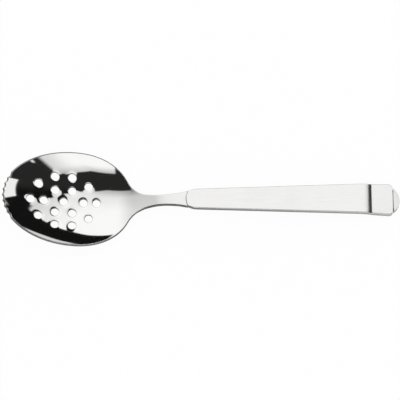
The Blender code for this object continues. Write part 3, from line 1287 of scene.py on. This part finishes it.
def front_card(lean: float, start: float, fade: float, fade_soft: float, least: float) -> LightPanel:
    """One of the cards at the front, which the far side of the bowl mirrors as one patch.

    Args:
        lean: How far the card's edge leans to the right.
        start: Where the card starts.
        fade: Middle of the fade towards that edge.
        fade_soft: Half the width of the fade.
        least: Share of the light at the edge.

    Returns:
        The card.
    """
    toward = (lean, -1.0, 0.0)
    own_edges = (SoftEdge(toward, start), SoftEdge(toward, fade, fade_soft, least))
    return LightPanel(CARD_LIGHT, (*own_edges, *CARD_SIDES))


# Mirrored in the handle, the neck and the near half of the bowl
OVERHEAD = LightPanel(1.11, (
    SoftEdge((-0.21, 0.0, 1.0), 0.337),
    SoftEdge(LEFT, -0.715),
    SoftEdge(BACK, -0.065),
    SoftEdge((-0.36, 1.0, 0.0), -0.055),
    SoftEdge((-0.9, 1.0, 0.0), -0.3),
    SoftEdge(BACK, 0.04, 0.12, 0.58),
    SoftEdge(LEFT, -0.55, 0.2, 0.7),
    SoftEdge(RIGHT, -0.4, 0.2, 0.72),
    SoftEdge(BACK, 0.3, 0.25, 0.83),
))
FRONT_CARDS = (
    front_card(lean=0.0, start=0.505, fade=0.58, fade_soft=0.08, least=0.55),
    front_card(lean=0.41, start=0.579, fade=0.68, fade_soft=0.11, least=0.65),
    front_card(lean=0.82, start=0.732, fade=0.84, fade_soft=0.12, least=0.65),
)
# Mirrored in the toothed tip
TIP_WINDOW = LightPanel(1.0, (
    SoftEdge((0.0, -0.11, -1.0), -0.492, 0.01),
    SoftEdge(BACK, -0.08, 0.01),
    SoftEdge((0.0, -1.0, -0.56), -0.526, 0.01),
    SoftEdge(RIGHT, 0.5),
))
# Mirrored in the turned-down end of the handle
END_WINDOW = LightPanel(0.92, (
    SoftEdge(DOWN, -0.30),
    SoftEdge(RIGHT, 0.6, 0.1),
    SoftEdge(FRONT, -0.45, 0.05),
))
LEFT_WALL = LightPanel(0.5, (SoftEdge(LEFT, 0.56, 0.03), SoftEdge(BACK, -0.45, 0.05)))
FRONT_GLOW = LightPanel(0.022, (SoftEdge(FRONT, -0.1, 0.15),))
# Mirrored along the near rim, and behind the tip of the dark crescent
BACK_STRIP = LightPanel(0.75, (
    SoftEdge(DOWN, -0.10, 0.01),
    SoftEdge((0.27, 0.0, -1.0), 0.0194, 0.01),
    SoftEdge(BACK, 0.6),
))
BACK_CORNER = LightPanel(1.05, (SoftEdge((-1.474, 0.0, -1.0), -0.035), SoftEdge(BACK, 0.85)))
# Mirrored as a small spot under the far rim
RIM_SPOT = LightPanel(0.9, (
    SoftEdge(RIGHT, 0.719, 0.01),
    SoftEdge(LEFT, -0.74, 0.01),
    SoftEdge(BACK, -0.52, 0.01),
    SoftEdge(FRONT, 0.48, 0.01),
))


@dataclass(frozen=True)
class Studio:
    """White table, pale panels round it, and the camera, with a painted shadow on the table that only
    reflections see.
    """

    elevation: float = 74.0
    roll: float = -0.42
    distance: float = 1500.0
    aim: Triple = (0.0, 0.0, 8.0)
    shift_right: float = -1.22
    view_width: float = 241.66
    sensor: float = 36.0
    table_size: float = 6.0
    table_below: float = 0.05
    table_white: float = 0.93
    table_glow: float = 0.95
    # Painted shadow on the table as reflections see it: dark round a middle point on the spoon's axis,
    # paler farther out.
    table_painted_shadow_near: float = 0.08
    table_painted_shadow_far: float = 0.75
    table_painted_shadow_middle: float = -220.0
    table_painted_shadow_near_reach: float = 90.0
    table_painted_shadow_far_reach: float = 420.0
    darkness: float = 0.007
    panels: tuple[LightPanel, ...] = (
        OVERHEAD, *FRONT_CARDS, TIP_WINDOW, END_WINDOW, LEFT_WALL, FRONT_GLOW, BACK_STRIP, BACK_CORNER,
        RIM_SPOT)

    def world(self) -> None:
        """Light the scene with a plain white world, which steel mirrors as panels in a dark room."""
        world = bpy.data.worlds.new("studio")
        world.use_nodes = True
        world.cycles.sampling_method = "NONE"
        bench = NodeBench(world.node_tree)
        bench.tree.nodes.clear()
        place = bench.node("ShaderNodeTexCoord").outputs["Generated"]
        parts = bench.node("ShaderNodeSeparateXYZ", sockets={"Vector": place})
        way = [Term(bench, socket) for socket in parts.outputs]
        light: Number = self.darkness
        for panel in self.panels:
            share: Number = panel.strength
            for edge in panel.edges:
                side = sum(part * amount for part, amount in zip(way, edge.toward) if amount)
                passed = bench.ease(side, edge.start - edge.soft, edge.start + edge.soft)
                share = (passed * (1 - edge.least) + edge.least) * share
            light = bench.math("MAXIMUM", share, light)
        plain, room = [
            bench.node("ShaderNodeBackground", sockets={"Color": WHITE, "Strength": strength})
            for strength in (1.0, light)]
        ray = bench.node("ShaderNodeLightPath").outputs["Is Glossy Ray"]
        mixed = bench.blended(ray, plain, room)
        bench.node("ShaderNodeOutputWorld", sockets={"Surface": mixed.outputs["Shader"]})
        bpy.context.scene.world = world

    def table(self) -> Piece:
        """Lay the white table under the spoon, with a painted shadow round the spoon that only
        reflections see.

        Returns:
            The table.
        """
        half = self.table_size / 2
        height = -self.table_below * MM
        mesh = bpy.data.meshes.new("table")
        corners = [(-half, -half), (half, -half), (half, half), (-half, half)]
        mesh.from_pydata([(*corner, height) for corner in corners], [], [(0, 1, 2, 3)])
        made = bpy.data.materials.new("table_white")
        made.use_nodes = True
        bench = NodeBench(made.node_tree)
        bench.tree.nodes.clear()
        ray = bench.node("ShaderNodeLightPath")
        # Reflections see a painted shadow on the table: the near tone round the spoon, rising to the far
        # tone farther out.
        paper, far, near = [
            bench.node("ShaderNodeBsdfDiffuse", sockets={"Color": (tone, tone, tone, 1.0)})
            for tone in (self.table_white, self.table_painted_shadow_far, self.table_painted_shadow_near)]
        place = bench.node("ShaderNodeTexCoord").outputs["Object"]
        away = bench.term(
            "ShaderNodeVectorMath", "Value", settings={"operation": "DISTANCE"},
            sockets={0: place, 1: (self.table_painted_shadow_middle * MM, 0.0, 0.0)})
        outward = bench.ease(away, self.table_painted_shadow_near_reach * MM, self.table_painted_shadow_far_reach * MM)
        glow = bench.node("ShaderNodeEmission", sockets={"Color": WHITE, "Strength": 1.0})
        seen = Term(bench, ray.outputs["Is Camera Ray"]) * self.table_glow
        shown = bench.blended(seen, paper, glow)
        # Painted shadow for reflections, darkest near the spoon and fading out by distance.
        mirrored_painted_shadow = bench.blended(outward, near, far)
        mixed = bench.blended(ray.outputs["Is Glossy Ray"], shown, mirrored_painted_shadow)
        bench.node("ShaderNodeOutputMaterial", sockets={"Surface": mixed.outputs["Shader"]})
        mesh.materials.append(made)
        return place_object("table", mesh)

    def camera(self) -> None:
        """Set the camera up as the photograph was taken, in a square frame."""
        tilt = math.radians(self.elevation)
        turn = math.radians(self.roll)
        forward = Vector((0.0, math.cos(tilt), -math.sin(tilt)))
        level = Vector(RIGHT)
        upward = level.cross(forward)
        right = level * math.cos(turn) + upward * math.sin(turn)
        up = upward * math.cos(turn) - level * math.sin(turn)
        eye = Vector(self.aim) - forward * self.distance + right * self.shift_right
        lens = bpy.data.cameras.new("camera")
        lens.sensor_width = self.sensor
        lens.lens = self.sensor * self.distance / self.view_width
        item = bpy.data.objects.new("camera", lens)
        bpy.context.scene.collection.objects.link(item)
        pose = Matrix((right, up, -forward)).transposed().to_4x4()
        pose.translation = eye * MM
        item.matrix_world = pose
        bpy.context.scene.camera = item


def dress(piece: Piece, node: str) -> None:
    """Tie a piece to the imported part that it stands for.

    Args:
        piece: The finished piece.
        node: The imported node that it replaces.
    """
    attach(piece, BODY)
    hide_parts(node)
    LOG.info("%s stands for %s with %d faces", piece.name, node, len(piece.data.polygons))


def main() -> None:
    """Build the spoon, its studio and the camera."""
    logging.basicConfig(level=logging.INFO, format="%(message)s")
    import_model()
    bpy.context.scene.view_settings.view_transform = "Standard"
    studio = Studio()
    studio.camera()
    studio.world()
    studio.table()

    blade = Blade(tip=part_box("bowl_neck_tang")[0][0] / MM)
    form = HandleForm(blade)
    upper = HandleShell("upper_shell", form, ShellSide.UPPER, edge_radius=0.6)
    lower = HandleShell("lower_shell", form, ShellSide.LOWER, edge_radius=2.4)
    # The rim and the holes' walls take the cut steel, whose darker tone is partly painted shade.
    dress(blade.build(MIRROR_POLISH.material(), CUT_EDGE_WITH_PAINTED_SHADE.material()), "bowl_neck_tang")
    dress(upper.build(SATIN_UPPER.material()), "handle_upper_shell")
    dress(lower.build(SATIN_LOWER.material()), "handle_lower_shell")
    dress(EndPlug(form).build(GROUND_PLUG.material()), "end_plug")


if __name__ == "__main__":
    main()
